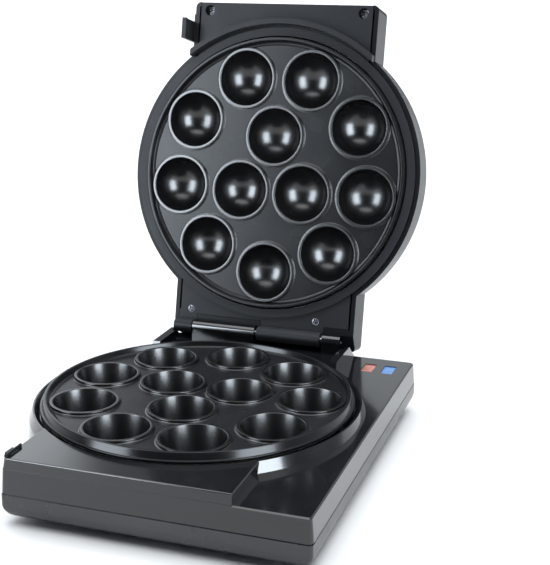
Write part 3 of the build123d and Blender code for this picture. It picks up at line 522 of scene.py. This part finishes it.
ceramicLook = {
    "dark": (0.62, 0.60, 0.55),
    "light": (0.78, 0.76, 0.72),
    "driftScale": 45.0,
    "smudgeScale": 90.0,
    "rough": (0.35, 0.60),
    "grainScale": 1400.0,
    "grainDepth": 0.00002,
    "waveScale": 80.0,
    "waveDepth": 0.00008,
}
boardLook = {
    "dark": (0.02, 0.10, 0.04),
    "light": (0.04, 0.17, 0.07),
    "driftScale": 60.0,
    "smudgeScale": 120.0,
    "rough": (0.30, 0.45),
    "grainScale": 1100.0,
    "grainDepth": 0.00002,
    "waveScale": 300.0,
    "waveDepth": 0.00004,
}
whiteCeramic = mouldedPlastic("whiteCeramic", ceramicLook)
boardGreen = mouldedPlastic("boardGreen", boardLook)

finishes = {
    "base_upper_housing": glossyBlack,
    "base_lower_housing": tubBlack,
    "base_baking_plate": plateCoating,
    "base_heating_element": elementSteel,
    "base_reflector_pan": panSteel,
    "base_thermostat": whiteCeramic,
    "base_thermal_fuse": whiteCeramic,
    "base_plate_screws": screwSteel,
    "base_pan_screws": screwSteel,
    "base_housing_screws": screwSteel,
    "red_indicator_window": redTint,
    "blue_indicator_window": blueTint,
    "indicator_board": boardGreen,
    "indicator_lamps": redTint,
    "terminal_block": whiteCeramic,
    "cord_gland": footRubber,
    "rubber_feet": footRubber,
    "hinge_pin": pinSteel,
    "latch_catch": satinBlack,
    "lid_outer_housing": shellBlack,
    "lid_inner_frame": satinBlack,
    "lid_baking_plate": plateCoating,
    "lid_heating_element": elementSteel,
    "lid_reflector_pan": panSteel,
    "lid_thermal_fuse": whiteCeramic,
    "lid_plate_screws": screwSteel,
    "lid_pan_screws": screwSteel,
    "lid_front_screws": screwSteel,
    "lid_rear_screws": screwSteel,
    "latch_guide": satinBlack,
    "latch_slider": satinBlack,
}
for nodeName, node in nodes.items():
    for holder in node.material_slots:
        holder.material = finishes[nodeName]
print("materials on the frame's nodes")

mouldLayout = {
    "ring": (71.16, 9, -70.0),  # radius, count, where the first stands
    "inner": (26.65, 3, -90.0),
}
mouldSpots = np.concatenate([ringSpots(*mouldLayout["ring"]), ringSpots(*mouldLayout["inner"])])

ballLook = {
    "landHeight": 8.0,
    "floorHeight": 9.8,
    "landRadius": 21.8,
    "ballRadius": 19.55,
    "backRadius": 20.4,
    "backStart": 2.5,
    "lipTall": 0.6,
    "lipRound": 0.55,
    "landRound": 0.5,
    "footRound": 0.8,
    "hiddenWide": 0.9,  # how far the piece runs on into the casting
    "hiddenDeep": 0.8,
    "proud": 0.06,
    "ballSteps": 34,
    "backSteps": 14,
    "segments": 72,
}


# Floor, foot, land with rounded edges, then a quarter circle up to the pole, and back inside the casting.
def ballProfile(look):
    land, floor = look["landHeight"] - look["proud"], look["floorHeight"] - look["proud"]
    ball, outside = look["ballRadius"], look["backRadius"]
    hidden = (look["landRadius"] + look["hiddenWide"], floor + look["hiddenDeep"])
    front = roundedPath(
        [
            hidden,
            (hidden[0], floor),
            (look["landRadius"], floor),
            (look["landRadius"], land),
            (ball, land),
            (ball, look["landHeight"] + look["lipTall"]),
        ],
        [0, 0, look["footRound"], look["landRound"], look["lipRound"], 0],
    )
    angles = np.linspace(math.asin(look["lipTall"] / ball), np.pi / 2, look["ballSteps"])[1:]
    ballArc = np.stack([ball * np.cos(angles), look["landHeight"] + ball * np.sin(angles)], axis=1)
    ballArc[-1, 0] = 0
    angles = np.linspace(np.pi / 2, math.asin(look["backStart"] / outside), look["backSteps"])
    backArc = np.stack([outside * np.cos(angles), look["landHeight"] + outside * np.sin(angles)], axis=1)
    backArc[0, 0] = 0
    return np.concatenate([front, ballArc, backArc, [hidden]])


cupLook = {
    "landHeight": 3.6,
    "floorHeight": 1.8,
    "landRadius": 21.8,
    "topRadius": 19.55,
    "bottomRadius": 15.6,
    "depth": 19.85,
    "bottomRound": 3.6,
    "lipRound": 0.55,
    "landRound": 0.5,
    "footRound": 0.8,
    "hiddenWide": 0.9,  # how far the piece runs on into the casting
    "hiddenDeep": 0.8,
    "bottomWall": 0.9,
    "sideWall": (0.6, 0.9),  # low, high
    "sideTop": 1.2,
    "proud": 0.06,
    "segments": 72,
}


# Floor, foot, land with rounded edges, a tapered wall, a rounded bottom edge and a flat bottom.
def cupProfile(look):
    land, floor = look["landHeight"] + look["proud"], look["floorHeight"] + look["proud"]
    bottom = look["landHeight"] - look["depth"]
    hidden = (look["landRadius"] + look["hiddenWide"], floor - look["hiddenDeep"])
    lowWall, highWall = look["sideWall"]
    front = roundedPath(
        [
            hidden,
            (hidden[0], floor),
            (look["landRadius"], floor),
            (look["landRadius"], land),
            (look["topRadius"], land),
            (look["bottomRadius"], bottom),
            (0.0, bottom),
        ],
        [0, 0, look["footRound"], look["landRound"], look["lipRound"], look["bottomRound"], 0],
        steps=8,
    )
    back = [
        (0.0, bottom - look["bottomWall"]),
        (look["bottomRadius"] + lowWall, bottom - look["bottomWall"]),
        (look["topRadius"] + highWall, floor - look["sideTop"]),
        hidden,
    ]
    return np.concatenate([front, back])


ballGrids = [onLid(grid) for grid in turned(ballProfile(ballLook), mouldSpots, ballLook["segments"])]
makePiece("lidMoulds", ballGrids, "lid", mouldShadedCoating)
cupGrids = [onBase(grid) for grid in turned(cupProfile(cupLook), mouldSpots, cupLook["segments"])]
makePiece("baseMoulds", cupGrids, "base", mouldShadedCoating)

rimLook = {
    "outer": 97.6,
    "crest": (94.5, 96.4),
    "foot": 93.3,
    "baseHeights": {"floor": 1.8, "crest": 5.46, "skirt": -1.15, "way": 1},
    "lidHeights": {"floor": 9.8, "crest": 6.14, "skirt": 12.7, "way": -1},
    "flankDeep": 4.5,
    "baseFlange": 1.16,
    "flangeRound": 0.35,
    "crestRound": 0.6,
    "footRound": 1.3,
    "hidden": (2.2, 0.7),  # how far the piece runs on into the casting
    "edgeWall": 1.0,
    "innerCorner": (1.6, 0.9),
    "proud": 0.06,
    "segments": 256,
}


# A closed section: foot curved up from the floor, crest rounded on both edges, outer flank, a flange if
# there is one, and inside the metal. The way is 1 on the base, whose crest points up, and -1 on the lid.
def rimProfile(heights, look, flange=0.0):
    way, crest, skirt = heights["way"], heights["crest"], heights["skirt"]
    floor = heights["floor"] + way * look["proud"]
    step = crest - way * look["flankDeep"]
    edge = look["outer"] + flange
    inside = look["foot"] - look["hidden"][0]
    corners = [
        (inside, floor - way * look["hidden"][1], 0),
        (inside, floor, 0),
        (look["foot"], floor, look["footRound"]),
        (look["crest"][0], crest, look["crestRound"]),
        (look["crest"][1], crest, look["crestRound"]),
        (look["outer"], step, look["flangeRound"] if flange else 0),
    ]
    if flange:
        corners.append((edge, step, look["flangeRound"]))
    corners += [
        (edge, skirt, 0),
        (edge - look["edgeWall"], skirt, 0),
        (look["outer"] - look["innerCorner"][0], floor - way * look["innerCorner"][1], 0),
    ]
    corners = np.array(corners)
    return roundedPath(corners[:, :2], corners[:, 2], steps=8, closed=True)


# One rim, swept round the plate's axis and wrapped both ways.
def plateRim(name, profile, place, body, material):
    grids = [place(grid) for grid in turned(profile, [(0, 0)], rimLook["segments"])]
    makePiece(name, grids, body, material, wrap=(True, True))


baseRimPath = rimProfile(rimLook["baseHeights"], rimLook, rimLook["baseFlange"])
plateRim("basePlateRim", baseRimPath, onBase, "base", rimCoating)
lidRimPath = rimProfile(rimLook["lidHeights"], rimLook)
plateRim("lidPlateRim", lidRimPath, onLid, "lid", plateCoating)

screwShape = {
    "crown": 0.28,
    "edgeRound": 0.35,
    "shank": 1.6,
    "threadDepth": 0.22,
    "threadPitch": 1.05,
    "crossHalf": 0.42,
    "crossReach": 1.75,
    "crossDepth": 1.1,
    "armSoft": 0.16,  # how softly the recess starts at an arm's side, and at its end
    "endSoft": 0.3,
    "headHeight": 2.0,
    "faceShare": 0.86,
    "faceSteps": 26,
    "neckRound": 0.1,
    "rowStep": 0.16,
    "tipLong": 1.2,
    "tipRadius": 0.8,
    "tipDrop": 0.3,
    "segments": 64,
}


# Head, cross recess and threaded shank on one grid: radius and height by row, the recess sunk where
# either arm of a cross is near, the thread a cosine of height over pitch less the turn.
def screwGrids(plan, shape):
    count, headHeight = shape["segments"], shape["headHeight"]
    headRadius, length = plan["head"], plan["length"]
    angles = 2 * np.pi * np.arange(count)[:, None] / count
    flat = headRadius * shape["faceShare"]
    face = np.stack([np.linspace(0, flat, shape["faceSteps"]), np.zeros(shape["faceSteps"])], axis=1)
    edge = roundedPath(
        [(flat, 0), (headRadius, 0), (headRadius, headHeight), (shape["shank"], headHeight)],
        [0, shape["edgeRound"], shape["neckRound"], 0],
    )[1:]
    shankLong = length - shape["tipLong"]
    shankRows = np.linspace(headHeight, headHeight + shankLong, int(shankLong / shape["rowStep"]))
    shank = np.stack([np.full(len(shankRows), shape["shank"]), shankRows], axis=1)[1:]
    tip = [(shape["tipRadius"], headHeight + length - shape["tipDrop"]), (0.0, headHeight + length)]
    profile = np.concatenate([face, edge, shank, tip])
    shankEnd = len(face) + len(edge) + len(shank)
    isShank = np.zeros(len(profile), bool)
    isShank[len(face) + len(edge) + 2 : shankEnd] = True
    radius = np.broadcast_to(profile[:, 0], (count, len(profile)))
    depth = np.broadcast_to(profile[:, 1], (count, len(profile)))
    thread = 0.5 + 0.5 * np.cos(2 * np.pi * depth / shape["threadPitch"] - angles)
    radius = radius - np.where(isShank[None, :], shape["threadDepth"] * thread, 0)
    onFace = np.arange(len(profile))[None, :] < len(face)
    crown = shape["crown"] * (radius / headRadius) ** 2
    turn = angles + plan["twist"]
    across = np.minimum(np.abs(radius * np.sin(turn)), np.abs(radius * np.cos(turn)))
    inArm = np.clip((shape["crossHalf"] - across) / shape["armSoft"] + 0.5, 0, 1)
    inReach = np.clip((shape["crossReach"] - radius) / shape["endSoft"] + 0.5, 0, 1)
    depth = np.where(onFace, depth + crown + shape["crossDepth"] * inArm * inReach, depth)
    depth[:, 0] = shape["crossDepth"]
    outX, outY = radius * np.cos(angles), radius * np.sin(angles)
    z = plan["headZ"] - headHeight + depth
    return [np.stack([x + outX, y + outY, z], axis=-1) for x, y in plan["spots"]]


rearScrewPlan = {
    "spots": [(-56.3, 103.4), (39.7, 103.4)],
    "headZ": 14.0,
    "length": 13.0,
    "head": 2.8,
    "twist": 0.5,
}
frontScrewPlan = {
    "spots": [(-57.6, -115.2), (57.6, -115.2)],
    "headZ": 18.0,
    "length": 13.0,
    "head": 3.3,
    "twist": 0.2,
}
footScrewPlan = {
    "spots": [(-56.0, -108.0), (98.0, -108.0), (99.0, 84.0), (-56.0, 115.0)],
    "headZ": -30.0,
    "length": 20.0,
    "head": 3.3,
    "twist": 0.9,
}


# Screws of one plan, standing for their node.
def screwsFrom(name, plan, place, body, node):
    grids = [place(grid) for grid in screwGrids(plan, screwShape)]
    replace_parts(makePiece(name, grids, body, screwSteel), node)


screwsFrom("lidRearScrews", rearScrewPlan, onLid, "lid", "lid_rear_screws")
screwsFrom("lidFrontScrews", frontScrewPlan, onLid, "lid", "lid_front_screws")
screwsFrom("footScrews", footScrewPlan, onBase, "base", "base_housing_screws")

lensShape = {
    "halfX": 3.95,
    "halfY": 7.7,
    "corner": 0.6,
    "redX": 84.0,
    "blueX": 98.0,
    "middleY": 106.25,
    "skin": -8.8,
    "face": -6.80,
    "crown": 0.3,
    "edgeRound": 0.35,
    "sideTop": 0.8,
    "flange": 1.45,
    "flangeDeep": 1.45,
    "flangeGap": 0.02,
    "crownRows": 14,
}


# Once round a rectangle whose corners are quarter circles.
def roundedOutline(halfX, halfY, corner, count=12):
    turns = np.linspace(0, np.pi / 2, count)
    arcs = []
    for i, (sideX, sideY) in enumerate([(1, 1), (-1, 1), (-1, -1), (1, -1)]):
        angles = turns + i * np.pi / 2
        x = sideX * (halfX - corner) + corner * np.cos(angles)
        y = sideY * (halfY - corner) + corner * np.sin(angles)
        arcs.append(np.stack([x, y], axis=1))
    return np.concatenate(arcs)


# Outlines scaled out from the middle with a crown that falls with the square of the way out, then the
# side, the hidden flange and the underside.
def lensGrid(middleX, shape):
    def outline(out=0.0):
        return roundedOutline(shape["halfX"] + out, shape["halfY"] + out, shape["corner"])

    inset = 1 - shape["edgeRound"] / shape["halfX"]
    rows = []
    for share in np.linspace(0, 1, shape["crownRows"]):
        rows.append((outline() * share * inset, shape["face"] - shape["crown"] * share**2 + shape["crown"]))
    edge = roundedPath(
        [(-shape["edgeRound"], 0), (0, 0), (0, -shape["sideTop"])], [0, shape["edgeRound"], 0], steps=6
    )
    for out, down in edge[1:]:
        rows.append((outline(out), shape["face"] + down))
    top, low = shape["skin"] - shape["flangeGap"], shape["skin"] - shape["flangeDeep"]
    grown = outline(shape["flange"])
    rows += [(outline(), top), (grown, top), (grown, low), (np.zeros_like(grown), low)]
    middle = (middleX, shape["middleY"])
    grid = [np.concatenate([path + middle, np.full((len(path), 1), z)], axis=1) for path, z in rows]
    return np.stack(grid, axis=1)


redGrid = onBase(lensGrid(lensShape["redX"], lensShape))
redLens = makePiece("redLens", [redGrid], "base", redTint)
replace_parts(redLens, "red_indicator_window")
blueGrid = onBase(lensGrid(lensShape["blueX"], lensShape))
blueLens = makePiece("blueLens", [blueGrid], "base", blueTint)
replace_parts(blueLens, "blue_indicator_window")

footShape = {
    "spots": [(-33.0, -104.0), (-33.0, 104.0), (87.0, -104.0), (87.0, 104.0)],
    "ground": -41.0,
    "radius": 6.95,
    "height": 4.95,
    "hollow": 3.2,
    "hollowDeep": 0.8,
    "hollowSlope": 0.5,
    "groove": (4.6, 4.9, 5.2),  # side, bottom, side
    "grooveDeep": 0.35,
    "draft": 0.05,
    "hollowRound": 0.3,
    "grooveRound": 0.1,
    "topRound": 0.2,
    "edgeRound": 0.9,
    "segments": 72,
}


# Underside with a shallow middle hollow and a groove, rounded rim, slightly drafted side, hidden top.
def footProfile(shape):
    low, high = shape["ground"], shape["ground"] + shape["height"]
    grooveIn, grooveMiddle, grooveOut = shape["groove"]
    corners = [
        (0, low + shape["hollowDeep"], 0),
        (shape["hollow"], low + shape["hollowDeep"], shape["hollowRound"]),
        (shape["hollow"] + shape["hollowSlope"], low, shape["hollowRound"]),
        (grooveIn, low, shape["grooveRound"]),
        (grooveMiddle, low + shape["grooveDeep"], shape["grooveRound"]),
        (grooveOut, low, shape["grooveRound"]),
        (shape["radius"], low, shape["edgeRound"]),
        (shape["radius"] - shape["draft"], high, shape["topRound"]),
        (0, high, 0),
    ]
    corners = np.array(corners)
    return roundedPath(corners[:, :2], corners[:, 2], steps=6)


feetGrids = turned(footProfile(footShape), footShape["spots"], footShape["segments"])
turnedFeet = makePiece("turnedFeet", [onBase(grid) for grid in feetGrids], "base", footRubber)
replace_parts(turnedFeet, "rubber_feet")

glandShape = {
    "x": 88.0,
    "z": -20.7,
    "wallOutside": 128.1,
    "wallInside": 125.15,
    "outerLong": 5.0,
    "innerLong": 2.0,
    "wallGap": 0.05,
    "flange": 6.5,
    "flangeLong": 1.2,
    "neck": 5.0,
    "bore": 3.2,
    "ridges": [(0.5, 1.6), (0.5, 2.1), (0.1, 2.5), (0.5, 2.9), (0.5, 3.4), (0.2, 3.8)],  # in, along
    "endTaper": 0.3,
    "edgeRound": 0.4,
    "ridgeRound": 0.2,
    "endRound": 0.6,
    "boreRound": 0.8,
    "segments": 72,
}


# A closed sleeve section of radius and y, with shallow ridges outside, swept round its own axis along Y.
def glandGrid(shape):
    out, inside = shape["wallOutside"] + shape["wallGap"], shape["wallInside"] - shape["wallGap"]
    near, far = inside - shape["innerLong"], out + shape["outerLong"]
    flange, neck, bore = shape["flange"], shape["neck"], shape["bore"]
    corners = [
        (bore, near, shape["edgeRound"]),
        (flange, near, shape["edgeRound"]),
        (flange, inside, shape["ridgeRound"]),
        (neck, inside, 0),
        (neck, out, 0),
        (flange, out, shape["ridgeRound"]),
        (flange, out + shape["flangeLong"], shape["edgeRound"]),
    ]
    corners += [(flange - inward, out + along, shape["ridgeRound"]) for inward, along in shape["ridges"]]
    corners += [(flange - shape["endTaper"], far, shape["endRound"]), (bore, far, shape["boreRound"])]
    corners = np.array(corners)
    profile = roundedPath(corners[:, :2], corners[:, 2], steps=5, closed=True)
    angles = 2 * np.pi * np.arange(shape["segments"]) / shape["segments"]
    x = shape["x"] + np.cos(angles)[:, None] * profile[None, :, 0]
    z = shape["z"] + np.sin(angles)[:, None] * profile[None, :, 0]
    y = np.broadcast_to(profile[None, :, 1], x.shape)
    return np.stack([x, y, z], axis=-1)


sleeveGrid = onBase(glandGrid(glandShape))
gland = makePiece("glandSleeve", [sleeveGrid], "base", footRubber, wrap=(True, True))
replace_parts(gland, "cord_gland")

pinShape = {
    "low": -64.6,
    "high": 60.4,
    "radius": 2.2,
    "dome": 0.9,
    "domeShare": 0.5,
    "domeRise": 0.12,
    "domeRound": 1.5,
    "edgeRound": 0.6,
    "segments": 48,
}


# A long bar along X whose ends are low domes with a small edge.
def pinGrid(shape):
    low, high, radius = shape["low"], shape["high"], shape["radius"]
    profile = roundedPath(
        [
            (0, low),
            (radius * shape["domeShare"], low + shape["domeRise"]),
            (radius, low + shape["dome"]),
            (radius, high - shape["dome"]),
            (radius * shape["domeShare"], high - shape["domeRise"]),
            (0, high),
        ],
        [0, shape["domeRound"], shape["edgeRound"], shape["edgeRound"], shape["domeRound"], 0],
        steps=6,
    )
    angles = 2 * np.pi * np.arange(shape["segments"]) / shape["segments"]
    y = stand["hingeY"] + np.cos(angles)[:, None] * profile[None, :, 0]
    z = stand["hingeZ"] + np.sin(angles)[:, None] * profile[None, :, 0]
    x = np.broadcast_to(profile[None, :, 1], y.shape)
    return np.stack([x, y, z], axis=-1)


hingeBar = makePiece("hingeBar", [onBase(pinGrid(pinShape))], "base", pinSteel)
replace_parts(hingeBar, "hinge_pin")

floorLook = {
    "half": 60.0,
    "dark": (0.78, 0.78, 0.785),
    "light": (0.80, 0.80, 0.803),
    "rough": 0.7,
    "gleam": 0.2,
    "grainScale": 6.0,
}


# A wide level sheet with a faint paper grain.
def paleFloor(look):
    mesh = bpy.data.meshes.new("paleFloor")
    half = look["half"]
    corners = [(-half, -half, 0), (half, -half, 0), (half, half, 0), (-half, half, 0)]
    mesh.from_pydata(corners, [], [(0, 1, 2, 3)])
    material, tree, shader = startMaterial("floorPaper", look)
    grain = objectNoise(tree, look["grainScale"], detail=4.0)
    colour = blendColours(tree, grain.outputs["Fac"], look["dark"], look["light"])
    tree.links.new(colour, shader.inputs["Base Color"])
    shader.inputs["Roughness"].default_value = look["rough"]
    mesh.materials.append(material)
    floor = bpy.data.objects.new("paleFloor", mesh)
    scene.collection.objects.link(floor)


paleFloor(floorLook)

boxTint = (0.83, 0.915, 1.0)
boxAim = (0.0, 0.0, 0.12)
boxLooks = {
    "leftBox": {"at": (-0.78, -0.98, 0.46), "size": (0.62, 1.05), "power": 38.0},
    "rightBox": {"at": (1.05, -0.62, 0.46), "size": (0.60, 1.00), "power": 40.0},
}


# A rectangle of light whose face is turned to a point, its long side upright; it shows in gloss only.
def softBox(name, look):
    data = bpy.data.lights.new(name, "AREA")
    data.shape = "RECTANGLE"
    data.size, data.size_y = look["size"]
    data.energy = look["power"]
    data.color = boxTint
    box = bpy.data.objects.new(name, data)
    box.visible_diffuse = False
    scene.collection.objects.link(box)
    back = np.array(look["at"]) - np.array(boxAim)
    back /= np.linalg.norm(back)
    right = np.cross((0.0, 0.0, 1.0), back)
    right /= np.linalg.norm(right)
    matrix = np.eye(4)
    matrix[:3, :3] = np.stack([right, np.cross(back, right), back], axis=1)
    matrix[:3, 3] = look["at"]
    box.matrix_world = Matrix(matrix.tolist())


for boxName, boxLook in boxLooks.items():
    softBox(boxName, boxLook)

overheadLook = {"power": 4.15, "spread": 1.2, "tint": (0.95, 0.98, 1.0)}


# An even wash straight down, as wide as its spread.
def overhead(look):
    data = bpy.data.lights.new("overhead", "SUN")
    data.energy, data.angle = look["power"], look["spread"]
    data.color = look["tint"]
    scene.collection.objects.link(bpy.data.objects.new("overhead", data))


overhead(overheadLook)

roomLook = {
    "front": (0.036, 0.039, 0.042),
    "side": [(-0.50, 2.20), (-0.455, 1.80), (-0.425, 0.28), (-0.31, 0.30), (-0.24, 0.92)],
    "rise": [(0.0, 0.27), (0.30, 1.0)],
    "tint": (0.90, 0.95, 1.0),
    "turn": (-0.16, 0.24),
}


# Straight slopes between (value, brightness) stops, for a value from -1 to 1.
def rampOver(tree, source, stops, tint=(1.0, 1.0, 1.0)):
    scale = tree.nodes.new("ShaderNodeMapRange")
    scale.inputs["From Min"].default_value = -1.0
    scale.inputs["From Max"].default_value = 1.0
    ramp = tree.nodes.new("ShaderNodeValToRGB")
    while len(ramp.color_ramp.elements) < len(stops):
        ramp.color_ramp.elements.new(0.5)
    for element, (value, bright) in zip(ramp.color_ramp.elements, stops):
        element.position = (value + 1) / 2
        element.color = (*(bright * np.array(tint)), 1)
    tree.links.new(source, scale.inputs["Value"])
    tree.links.new(scale.outputs["Result"], ramp.inputs["Fac"])
    return ramp.outputs["Color"]


# Dim in front of the object. Behind it a bright wall on the left, a dark gap, then a paler wall; both
# walls darken towards the floor.
def studioRoom(look):
    world = bpy.data.worlds.new("studioRoom")
    world.use_nodes = True
    tree = world.node_tree
    tree.nodes.clear()
    output = tree.nodes.new("ShaderNodeOutputWorld")
    background = tree.nodes.new("ShaderNodeBackground")
    place = tree.nodes.new("ShaderNodeTexCoord")
    split = tree.nodes.new("ShaderNodeSeparateXYZ")
    tree.links.new(place.outputs["Generated"], split.inputs["Vector"])
    walls = tree.nodes.new("ShaderNodeMix")
    walls.data_type = "RGBA"
    walls.blend_type = "MULTIPLY"
    walls.inputs["Factor"].default_value = 1.0
    tree.links.new(rampOver(tree, split.outputs["X"], look["side"], look["tint"]), walls.inputs["A"])
    tree.links.new(rampOver(tree, split.outputs["Z"], look["rise"]), walls.inputs["B"])
    room = tree.nodes.new("ShaderNodeMix")
    room.data_type = "RGBA"
    tree.links.new(spread(tree, split.outputs["Y"], 0.0, 1.0, *look["turn"]), room.inputs["Factor"])
    room.inputs["A"].default_value = (*look["front"], 1)
    tree.links.new(walls.outputs["Result"], room.inputs["B"])
    tree.links.new(room.outputs["Result"], background.inputs["Color"])
    tree.links.new(background.outputs["Background"], output.inputs["Surface"])
    scene.world = world


studioRoom(roomLook)
print("floor and light set")

bpy.context.view_layer.update()
